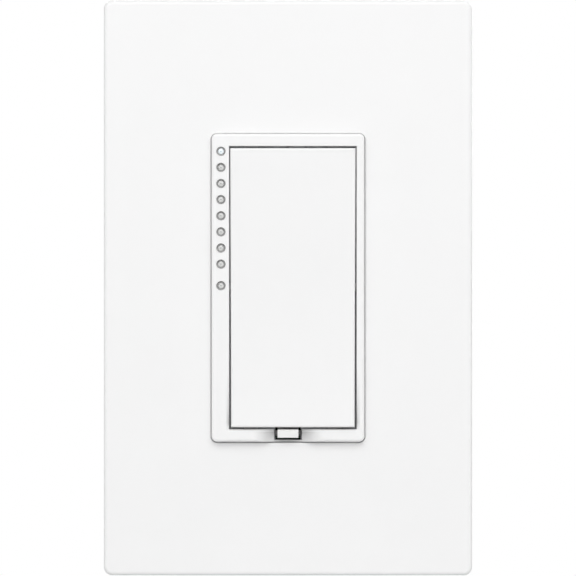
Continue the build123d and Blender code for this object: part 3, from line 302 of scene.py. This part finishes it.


# %% Painted shade on the bezel
def paint_shade(material, tone, share_at):
    """Mixes a greyer tone into a material as painted shade, as far as share_at says for each place."""
    tree = material.node_tree
    shader = tree.nodes["Principled BSDF"]
    plain = shader.inputs["Base Color"].links[0].from_socket
    place = add(tree, "ShaderNodeTexCoord").outputs["Object"]
    axes = add(tree, "ShaderNodeSeparateXYZ", {"Vector": place})
    share = share_at(tree, axes.outputs["X"], axes.outputs["Z"])
    mix = add(tree, "ShaderNodeMix", {"Factor": share, "A": plain, "B": linear(tone)}, data_type="RGBA")
    tree.links.new(mix.outputs["Result"], shader.inputs["Base Color"])


# Painted shade: a light grey in the scoop that deepens towards the slot, and a darker grey on the rails
# beside the foot.
paint_shade(finish_of_slot["bezel_plastic"], "dbdbdb", in_scoop)
paint_shade(finish_of_slot["bezel_plastic"], "b4b4b4", beside_foot)
print("nodes of the worn bezel:", len(finish_of_slot["bezel_plastic"].node_tree.nodes))

# %% [markdown]
# ## Metals
# The strap is punched from rolled aluminium sheet: the rolls leave fine lines along it, so its noise is
# drawn out along Z. Terminals and contacts are brass, the screws zinc-plated steel, and the ground screw is
# dyed green, as every electrician expects. Anisotropic shading could stretch the highlights instead, but
# drawn-out noise does it with no tangents. A metal keeps the shader's own IOR; its colour is its reflection.

# %% Metals
ALONG_Z = (1, 1, 0.04)
LINE_DETAIL = 4.0


def metal(name, light, dark, gloss, grain_mm, depth_mm, stretch=(1, 1, 1), patch_mm=5.0):
    """A metal whose tint and gloss wander; stretch draws the grain out into rolling or brush lines."""
    material, tree, shader, place = new_material(name)
    shader.inputs["Metallic"].default_value = 1.0
    lines = grain(tree, place, grain_mm, LINE_DETAIL, stretch)
    patches = grain(tree, place, patch_mm)
    both = add(tree, "ShaderNodeMath", {0: lines, 1: patches}, operation="MULTIPLY")
    dress(tree, shader, tint=(both, light, dark), gloss=(lines, *gloss), relief=(lines, depth_mm))
    return material


screw_steel = metal("zinc_plated_steel", "c9ccd0", "b4b9c1", gloss=(0.28, 0.44),
                    grain_mm=0.3, depth_mm=0.004, patch_mm=1.5)
finish_of_slot.update(
    # Zinc-plated steel has a bluish bloom with small cloudy patches, and green dye lets that shine through.
    screw_steel=screw_steel,
    ground_green=metal("green_dyed_steel", "2f8a4d", "256f3d", gloss=(0.28, 0.42),
                       grain_mm=0.3, depth_mm=0.004, patch_mm=1.5),
    # Rolled sheet: bright, with long fine lines that stretch its reflections.
    strap_metal=metal("rolled_aluminium", "e2e3e5", "b9bcc0", gloss=(0.28, 0.48),
                      grain_mm=0.8, depth_mm=0.006, stretch=ALONG_Z, patch_mm=18.0),
    # Stamped brass is warm and satin.
    contact_brass=metal("stamped_brass", "dcb56a", "c79f55", gloss=(0.28, 0.4), grain_mm=0.4, depth_mm=0.003),
    # Enamelled wire shines like varnish over copper; tin plate is a soft mirror.
    copper_wire=metal("enamelled_copper", "c4744a", "ad5f39", gloss=(0.16, 0.26),
                      grain_mm=0.5, depth_mm=0.002),
    shield_tin=metal("tin_plate", "d3d4d3", "c3c5c5", gloss=(0.28, 0.42), grain_mm=0.5, depth_mm=0.002))
# Silver plate on the contacts that carry the load: pale and a little milky.
contact_silver = metal("silver_plated_brass", "cfcfcd", "bfbfbd", gloss=(0.28, 0.4),
                       grain_mm=0.4, depth_mm=0.002)
print("slots with a finish so far:", len(finish_of_slot))

# %% [markdown]
# ## Painted screws
# The screws that hold the subframe have a head enamelled white, to match the plate, on a bare zinc shank.
# They could be cut in two for two materials, but the finishes differ by place, so one material covers both:
# it looks at how far forward a point lies, and turns from metal to enamel at the neck.

# %% Painted screws
SCREW_NECK = -2.0 * MM
SCREW_GRAIN_MM = 0.4


def painted_head_material():
    """White enamel in front of the neck, bare zinc behind it."""
    material, tree, shader, place = new_material("white_enamel_head_zinc_shank")
    axes = add(tree, "ShaderNodeSeparateXYZ", {"Vector": place})
    bare = add(tree, "ShaderNodeMath", {0: axes.outputs["Y"], 1: SCREW_NECK}, operation="GREATER_THAN")
    tree.links.new(bare.outputs["Value"], shader.inputs["Metallic"])
    clouds = grain(tree, place, SCREW_GRAIN_MM)
    dress(tree, shader, tint=(bare, "ededea", "c3c7cc"), gloss=(clouds, 0.28, 0.42), relief=(clouds, 0.004))
    return material


finish_of_slot["screw_white"] = painted_head_material()
print("enamel ends at y in mm:", round(SCREW_NECK / MM, 1))

# %% [markdown]
# ## Circuit board
# A board is green glass epoxy: under the lacquer, copper tracks show as slightly lighter lines. Real
# tracks would be drawn by hand; long low bricks with thin joints give the same look of fine straight runs,
# 1.2 mm apart.

# %% Circuit board
TRACK_SCALE_MM = 2.4
TRACK_LENGTH = 2.6       # these three are shares of the scale
TRACK_SPACING = 0.5
TRACK_WIDTH = 0.05


def board_laminate_material():
    """Green lacquered glass epoxy with a faint pattern of tracks."""
    material, tree, shader, place = new_material("green_glass_epoxy")
    turned = add(tree, "ShaderNodeMapping", {"Vector": place, "Rotation": (math.radians(90), 0, 0)})
    tracks = add(tree, "ShaderNodeTexBrick", {
        "Vector": turned, "Scale": 1 / (TRACK_SCALE_MM * MM), "Brick Width": TRACK_LENGTH,
        "Row Height": TRACK_SPACING, "Mortar Size": TRACK_WIDTH, "Color1": linear("1d6536"),
        "Color2": linear("226c3c"), "Mortar": linear("2d7d48")})
    tree.links.new(tracks.outputs["Color"], shader.inputs["Base Color"])
    dress(tree, shader, gloss=(grain(tree, place, 2.0), 0.28, 0.38), relief=(tracks.outputs["Fac"], 0.02))
    return material


finish_of_slot["board_laminate"] = board_laminate_material()
print("tracks are apart in mm:", round(TRACK_SPACING * TRACK_SCALE_MM, 2))

# %% [markdown]
# ## Light pipes
# The dots beside the paddle are the ends of clear acrylic pipes. Unlit, such an end looks pale grey: it
# shows a little of the dark works behind it through a slightly frosted face, and a darker grey speck sits in
# its middle. Full transmission could be traced, but most of what comes back is the frosting's own white, so a
# small share of transmission is enough. The top one is lit, so its own end glows a cold white.

# %% Light pipes
ACRYLIC_IOR = 1.49
CLEAR_SHARE = 0.12


def clear_acrylic(name, tint, glow="ffffff", glow_strength=0.0):
    """Frosted acrylic; an unlit pipe has no glow."""
    material, tree, shader, place = new_material(name)
    shader.inputs["IOR"].default_value = ACRYLIC_IOR
    shader.inputs["Transmission Weight"].default_value = CLEAR_SHARE
    shader.inputs["Emission Color"].default_value = linear(glow)
    shader.inputs["Emission Strength"].default_value = glow_strength
    dress(tree, shader, tint=(grain(tree, place, 0.8), *tint), gloss=(grain(tree, place, 0.4), 0.28, 0.36),
          relief=(grain(tree, place, 0.3), 0.002))
    return material


light_pipe = clear_acrylic("frosted_acrylic", ("e8e8e7", "dcdcdb"))
# A small darker grey speck in the middle of each unlit dot.
grey_speck = clear_acrylic("grey_speck_acrylic", ("b4b4b3", "a9a9a9"))
lit_lamp_speck = clear_acrylic("lit_speck_acrylic", ("d6dfe4", "ccd6dc"), "dceaf2", 0.08)
lit_light_pipe = clear_acrylic("lit_frosted_acrylic", ("f1f7fa", "e9f1f5"), "eaf6fc", 0.14)
finish_of_slot["light_pipe"] = light_pipe
print("slots with a finish:", len(finish_of_slot))

# %% [markdown]
# ## Giving the CAD pieces their finish
# The record names a material slot for each piece. Each could be given its material by name, but a dictionary
# from slot to material covers all of them in one loop, and the loop stops if a slot was forgotten, so no
# piece can be left plain. The contacts of the air gap share a slot with the brass terminals, but contacts
# that carry a load are silver plated, so a second dictionary names them.

# %% Assign the finishes
finish_of_node = dict.fromkeys(("air_gap_blade", "air_gap_contact_left", "air_gap_contact_right"),
                               contact_silver)
parts = frame["record"]["subparts"]
for part in parts:
    mesh = frame["nodes"][part["node"]].data
    mesh.materials.clear()
    mesh.materials.append(finish_of_node.get(part["node"], finish_of_slot[part["material_slot"]]))
print("finishes given to", len(parts), "pieces")

# %% [markdown]
# ## Pieces that Geometry Nodes grow
# What repeats or winds could be placed point by point in a mesh, but a tree of Geometry Nodes states the
# rule once. Its inputs are named, and they are set by the socket's identifier before the object is first
# evaluated. Each tree ends in Realize Instances and Set Material, because an export drops instances. The
# result becomes a plain mesh, and the modifier goes before the piece is handed to its body.

# %% Trees and what grows from them
def geometry_tree(name, kinds):
    """A new Geometry Nodes tree with an input of each kind, and its Geometry output."""
    tree = bpy.data.node_groups.new(name, "GeometryNodeTree")
    tree.interface.new_socket("Geometry", in_out="OUTPUT", socket_type="NodeSocketGeometry")
    for label, kind in kinds.items():
        tree.interface.new_socket(label, in_out="INPUT", socket_type=kind)
    return tree, tree.nodes.new("NodeGroupInput"), tree.nodes.new("NodeGroupOutput")


def grow(name, tree, values):
    """Runs a tree once with its inputs filled, and keeps the result as a plain mesh on the device."""
    carrier = bpy.data.objects.new(name, bpy.data.meshes.new(name + "_start"))
    bpy.context.scene.collection.objects.link(carrier)
    modifier = carrier.modifiers.new("Grow", "NODES")
    modifier.node_group = tree
    for socket in tree.interface.items_tree:
        if socket.in_out == "INPUT":
            modifier[socket.identifier] = values[socket.name]
    evaluated = carrier.evaluated_get(bpy.context.evaluated_depsgraph_get())
    mesh = bpy.data.meshes.new_from_object(evaluated)
    carrier.modifiers.remove(modifier)
    if mesh.materials[0] is None:        # Set Material puts its own after an empty slot on some meshes
        mesh.materials.pop(index=0)
    carrier.data = mesh
    mesh.name = name
    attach(carrier, "device")
    print(name, "has", len(mesh.polygons), "faces of", mesh.materials[0].name)


# %% [markdown]
# ## Domes, specks and shade rings of the lights
# Each pipe's end is slightly domed, a small darker speck sits in its middle, and a matt grey ring lies round
# the pipe at the floor of its mouth: its grey is painted shade, the shade of the deep mouth round each dot.
# The dots repeat at one pitch, so each kind is a line of points with a shape on each. They could be three
# trees, but one function builds the column for any shape: a ball, flattened into a dome or a speck, or a bead
# bent into a ring.

# %% Where the lights are
LIGHT_PITCH = 3.474 * MM
STATUS_DROP = 4.644 * MM
LEVEL_LIGHTS = 8
COLLAR_RADIUS = 1.0 * MM
MOUTH_DEPTH = 0.9 * MM

pipes_low, pipes_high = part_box("level_light_pipes")
pipe_x = (pipes_low.x + pipes_high.x) / 2
pipe_end = pipes_low.y
mouth_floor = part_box("bezel")[0].y + MOUTH_DEPTH
top_light = pipes_high.z - COLLAR_RADIUS
status_light = top_light - LIGHT_PITCH * (LEVEL_LIGHTS - 1) - STATUS_DROP
print("lights at x", round(pipe_x / MM, 2), "from z", round(top_light / MM, 2),
      "to", round(status_light / MM, 2), "mm")

# %% Shapes of the lights
ROUND = 32               # sides of anything round
BEAD_SIDES = 10
SHADE_RING_BEAD = 0.19         # radius of the bead, as a share of the ring's


def ball(tree):
    """A sphere of radius 1, which becomes a dome when it is flattened."""
    return add(tree, "GeometryNodeMeshUVSphere", {"Segments": ROUND, "Rings": ROUND // 2, "Radius": 1.0})


def bead(tree):
    """A round bead bent into a ring of radius 1 that faces the room."""
    circle = add(tree, "GeometryNodeCurvePrimitiveCircle", {"Resolution": ROUND, "Radius": 1.0})
    profile = add(tree, "GeometryNodeCurvePrimitiveCircle", {"Resolution": BEAD_SIDES, "Radius": SHADE_RING_BEAD})
    ring = add(tree, "GeometryNodeCurveToMesh", {"Curve": circle, "Profile Curve": profile})
    return add(tree, "GeometryNodeTransform", {"Geometry": ring, "Rotation": (math.radians(90), 0, 0)})


def column_tree(name, shape):
    """A column of equal shapes that hangs down from its first one, at a pitch."""
    tree, given, result = geometry_tree(name, {
        "Count": "NodeSocketInt", "Pitch": "NodeSocketVector", "Start": "NodeSocketVector",
        "Size": "NodeSocketVector", "Material": "NodeSocketMaterial"})
    column = add(tree, "GeometryNodeMeshLine", {
        "Count": given.outputs["Count"], "Start Location": given.outputs["Start"],
        "Offset": given.outputs["Pitch"]})
    placed = add(tree, "GeometryNodeInstanceOnPoints", {"Points": column, "Instance": shape(tree),
                                                        "Scale": given.outputs["Size"]})
    real = add(tree, "GeometryNodeRealizeInstances", {"Geometry": placed})
    smooth = add(tree, "GeometryNodeSetShadeSmooth", {"Geometry": real})
    finished = add(tree, "GeometryNodeSetMaterial", {"Geometry": smooth,
                                                     "Material": given.outputs["Material"]})
    tree.links.new(finished.outputs["Geometry"], result.inputs["Geometry"])
    return tree


dome_column = column_tree("dome_column", ball)
# A grey ring in each mouth, whose grey is painted shade.
shade_ring_column = column_tree("shade_ring_column", bead)
print("trees:", dome_column.name, "and", shade_ring_column.name)

# %% Lights in their mouths
DOME_RADIUS = 0.6 * MM
DOME_HEIGHT = 0.2 * MM
SPECK_RADIUS = 0.14 * MM
SPECK_HEIGHT = 0.02 * MM
SHADE_RING_RADIUS = 0.815 * MM

for name, count, height, lens, speck in (
        ("lit_light", 1, top_light, lit_light_pipe, lit_lamp_speck),
        ("level_lights", LEVEL_LIGHTS - 1, top_light - LIGHT_PITCH, light_pipe, grey_speck),
        ("status_light", 1, status_light, light_pipe, grey_speck)):
    for kind, tree, slot_name, depth, size, material in (
            ("_lens", dome_column, "light_pipe", pipe_end, (DOME_RADIUS, DOME_HEIGHT, DOME_RADIUS), lens),
            ("_speck", dome_column, "light_pipe", pipe_end - DOME_HEIGHT,
             (SPECK_RADIUS, SPECK_HEIGHT, SPECK_RADIUS), speck),
            # the grey ring: painted shade of the mouth
            ("_seal", shade_ring_column, "bezel_plastic", mouth_floor - SHADE_RING_RADIUS * SHADE_RING_BEAD,
             (SHADE_RING_RADIUS, SHADE_RING_RADIUS, SHADE_RING_RADIUS), shade_ring_rubber)):
        grow(name + kind, tree, {
            "Count": count, "Pitch": (0, 0, -LIGHT_PITCH), "Start": (pipe_x, depth, height), "Size": size,
            "Material": material})

# %% [markdown]
# ## Screw threads
# The two screws that hold the subframe end behind the strap, where their threads show. A thread is a ridge
# that climbs as a helix. A bump pattern could hint at it, but its outline shows, so it is a spiral curve of
# constant radius, swept with a small triangle. The spiral climbs along Z, so it is turned to point to the
# back before it is placed on both screws.

# %% Tree of the threads
def thread_tree():
    """A helical ridge on each of two screws that point to the back."""
    tree, given, result = geometry_tree("screw_thread", {
        "Radius": "NodeSocketFloat", "Length": "NodeSocketFloat", "Turns": "NodeSocketFloat",
        "Ridge": "NodeSocketFloat", "First screw": "NodeSocketVector", "To next screw": "NodeSocketVector",
        "Material": "NodeSocketMaterial"})
    helix = add(tree, "GeometryNodeCurveSpiral", {
        "Resolution": ROUND, "Rotations": given.outputs["Turns"], "Start Radius": given.outputs["Radius"],
        "End Radius": given.outputs["Radius"], "Height": given.outputs["Length"]})
    triangle = add(tree, "GeometryNodeCurvePrimitiveCircle", {"Resolution": 3,
                                                              "Radius": given.outputs["Ridge"]})
    ridge = add(tree, "GeometryNodeCurveToMesh", {"Curve": helix, "Profile Curve": triangle,
                                                  "Fill Caps": True})
    turned = add(tree, "GeometryNodeTransform", {"Geometry": ridge, "Rotation": (math.radians(-90), 0, 0)})
    screws = add(tree, "GeometryNodeMeshLine", {"Count": 2, "Start Location": given.outputs["First screw"],
                                                "Offset": given.outputs["To next screw"]})
    placed = add(tree, "GeometryNodeInstanceOnPoints", {"Points": screws, "Instance": turned})
    real = add(tree, "GeometryNodeRealizeInstances", {"Geometry": placed})
    finished = add(tree, "GeometryNodeSetMaterial", {"Geometry": real, "Material": given.outputs["Material"]})
    tree.links.new(finished.outputs["Geometry"], result.inputs["Geometry"])
    return tree


threads = thread_tree()
print("tree:", threads.name, "with", len(threads.nodes), "nodes")

# %% Threads on their screws
THREAD_PITCH = 0.79 * MM
THREAD_RIDGE = 0.2 * MM
SHANK_RADIUS = 1.6 * MM
THREAD_START = 0.2 * MM

top_low, top_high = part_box("plate_screw_top")
bottom_low, bottom_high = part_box("plate_screw_bottom")
top_screw = (top_low + top_high) / 2
bottom_screw = (bottom_low + bottom_high) / 2
thread_length = top_high.y - THREAD_START - THREAD_RIDGE
grow("plate_screw_threads", threads, {
    "Radius": SHANK_RADIUS, "Length": thread_length, "Turns": thread_length / THREAD_PITCH,
    "Ridge": THREAD_RIDGE, "First screw": (top_screw.x, THREAD_START, top_screw.z),
    "To next screw": (0, 0, bottom_screw.z - top_screw.z), "Material": screw_steel})

# %% [markdown]
# ## Floor
# A pale floor lies just under the switch and keeps its shadow. A backdrop that curves up behind could hide
# its edge, but it would show in the views from behind, so the floor fades into the white background instead,
# through Is Camera Ray. It reaches far, because it lights the plate from below, and it is clear from
# underneath, so that a low camera sees the switch through it.

# %% Floor
FLOOR_DROP = 1.5 * MM
FLOOR_RADIUS = 3.0
FLOOR_SIDES = 96
FLOOR_GRAIN_MM = 12.0
FLOOR_ROUGHNESS = 0.9
FLOOR_SHINE = 0.1
SHADOW_RADIUS = 0.02
FADE_RADIUS = 0.066


def floor_paint():
    """Pale matt paint near the switch, which fades into plain white for the camera further out."""
    material, tree, shader, place = new_material("matt_floor_paint")
    shader.inputs["Roughness"].default_value = FLOOR_ROUGHNESS
    shader.inputs["Specular IOR Level"].default_value = FLOOR_SHINE
    dress(tree, shader, tint=(grain(tree, place, FLOOR_GRAIN_MM), "e6e6e6", "e2e2e2"))
    flat = add(tree, "ShaderNodeMapping", {"Vector": place, "Scale": (1, 1, 0)})
    reach = add(tree, "ShaderNodeVectorMath", {0: flat}, operation="LENGTH")
    faded = add(tree, "ShaderNodeMapRange", {"Value": reach.outputs["Value"], "From Min": SHADOW_RADIUS,
                                             "From Max": FADE_RADIUS}, interpolation_type="SMOOTHSTEP")
    camera_ray = add(tree, "ShaderNodeLightPath").outputs["Is Camera Ray"]
    white_share = add(tree, "ShaderNodeMath", {0: faded, 1: camera_ray}, operation="MULTIPLY")
    white = add(tree, "ShaderNodeEmission", {"Color": linear("ffffff"), "Strength": 1.0})
    mixed = add(tree, "ShaderNodeMixShader", {"Fac": white_share, 1: shader, 2: white})
    underside = add(tree, "ShaderNodeNewGeometry").outputs["Backfacing"]
    clear = add(tree, "ShaderNodeBsdfTransparent")
    one_sided = add(tree, "ShaderNodeMixShader", {"Fac": underside, 1: mixed, 2: clear})
    output = next(node for node in tree.nodes if node.type == "OUTPUT_MATERIAL")
    tree.links.new(one_sided.outputs["Shader"], output.inputs["Surface"])
    return material


floor_mesh = bpy.data.meshes.new("studio_floor")
disc = bmesh.new()
bmesh.ops.create_circle(disc, cap_ends=True, segments=FLOOR_SIDES, radius=FLOOR_RADIUS)
bmesh.ops.translate(disc, verts=disc.verts, vec=(0, 0, cad_low.z - FLOOR_DROP))
disc.to_mesh(floor_mesh)
disc.free()
floor_mesh.materials.append(floor_paint())
floor = bpy.data.objects.new("studio_floor", floor_mesh)
bpy.context.scene.collection.objects.link(floor)
print("floor at z in mm:", round((cad_low.z - FLOOR_DROP) / MM, 2))

# %% [markdown]
# ## World
# The world is white where the camera or a clear piece sees it. An even world would light every side alike
# and leave the white parts flat, so as light it is dimmer and graded: more comes from the front and from
# above, as from the pale walls and ceiling of a studio. Reflections see it fade towards the back, which
# draws the grey outline of every rounded edge.

# %% World
AMBIENT = 0.40
FROM_FRONT = 0.27
FROM_ABOVE = 0.17
DIM_BEHIND = 0.35


def studio_world():
    """White to the camera, graded as light, and dimmer to a reflection the further back it looks."""
    world = bpy.data.worlds.new("studio")
    world.use_nodes = True
    tree = world.node_tree
    tree.nodes.clear()
    rays = add(tree, "ShaderNodeLightPath")
    seen = rays.outputs["Is Camera Ray"]
    for kind in ("Is Glossy Ray", "Is Transmission Ray"):
        seen = add(tree, "ShaderNodeMath", {0: seen, 1: rays.outputs[kind]}, operation="MAXIMUM")
    direction = add(tree, "ShaderNodeTexCoord").outputs["Generated"]
    lean = add(tree, "ShaderNodeVectorMath", {0: direction, 1: (0, -FROM_FRONT, FROM_ABOVE)},
               operation="DOT_PRODUCT")
    level = add(tree, "ShaderNodeMath", {0: lean.outputs["Value"], 1: AMBIENT}, operation="ADD")
    axes = add(tree, "ShaderNodeSeparateXYZ", {"Vector": direction})
    dimmed = add(tree, "ShaderNodeMapRange", {"Value": axes.outputs["Y"], "To Min": 1.0,
                                              "To Max": DIM_BEHIND})
    white = add(tree, "ShaderNodeMix", {"Factor": rays.outputs["Is Glossy Ray"], "A": 1.0, "B": dimmed})
    ambient = add(tree, "ShaderNodeBackground", {"Color": linear("ffffff"), "Strength": level})
    backdrop = add(tree, "ShaderNodeBackground", {"Color": linear("ffffff"), "Strength": white})
    either = add(tree, "ShaderNodeMixShader", {"Fac": seen, 1: ambient, 2: backdrop})
    add(tree, "ShaderNodeOutputWorld", {"Surface": either})
    return world


bpy.context.scene.world = studio_world()
print("light of the world from", round(AMBIENT - math.hypot(FROM_FRONT, FROM_ABOVE), 2),
      "to", round(AMBIENT + math.hypot(FROM_FRONT, FROM_ABOVE), 2))

# %% [markdown]
# ## Lamps
# One wide lamp high in front gives the soft shadows under the bezel and in the scoop. Many small lamps could
# do that too, but one wide one leaves a single clean shadow. A lamp behind lights the works for views from
# the back. A strip on each side, which only reflections see, gives edges a bright rim; it stands level with
# the plate, so that the flat front mirrors it only edge-on. The camera sees none of the lamps.

# %% Lamps
def soft_lamp(name, place, width, height, brightness, only_gloss=False):
    """A rectangular lamp that faces the switch; at brightness 1 it looks as bright as white paper."""
    data = bpy.data.lights.new(name, "AREA")
    data.shape = "RECTANGLE"
    data.size = width
    data.size_y = height
    data.energy = math.pi * width * height * brightness
    lamp = bpy.data.objects.new(name, data)
    bpy.context.scene.collection.objects.link(lamp)
    lamp.location = place
    lamp.rotation_euler = (-Vector(place)).to_track_quat("-Z", "Y").to_euler()
    lamp.visible_camera = False
    lamp.visible_diffuse = not only_gloss
    print(name, "gives", round(data.energy, 2), "W")


soft_lamp("front_lamp", (0, -0.9, 0.6), 1.1, 0.7, brightness=2.42)
soft_lamp("back_lamp", (0.2, 1.5, 0.3), 0.9, 0.6, brightness=8.0)
soft_lamp("left_strip", (-1.10, -0.06, 0), 0.22, 0.9, brightness=3.6, only_gloss=True)
soft_lamp("right_strip", (1.10, -0.06, 0), 0.22, 0.9, brightness=3.6, only_gloss=True)

bpy.context.scene.view_settings.view_transform = "Standard"
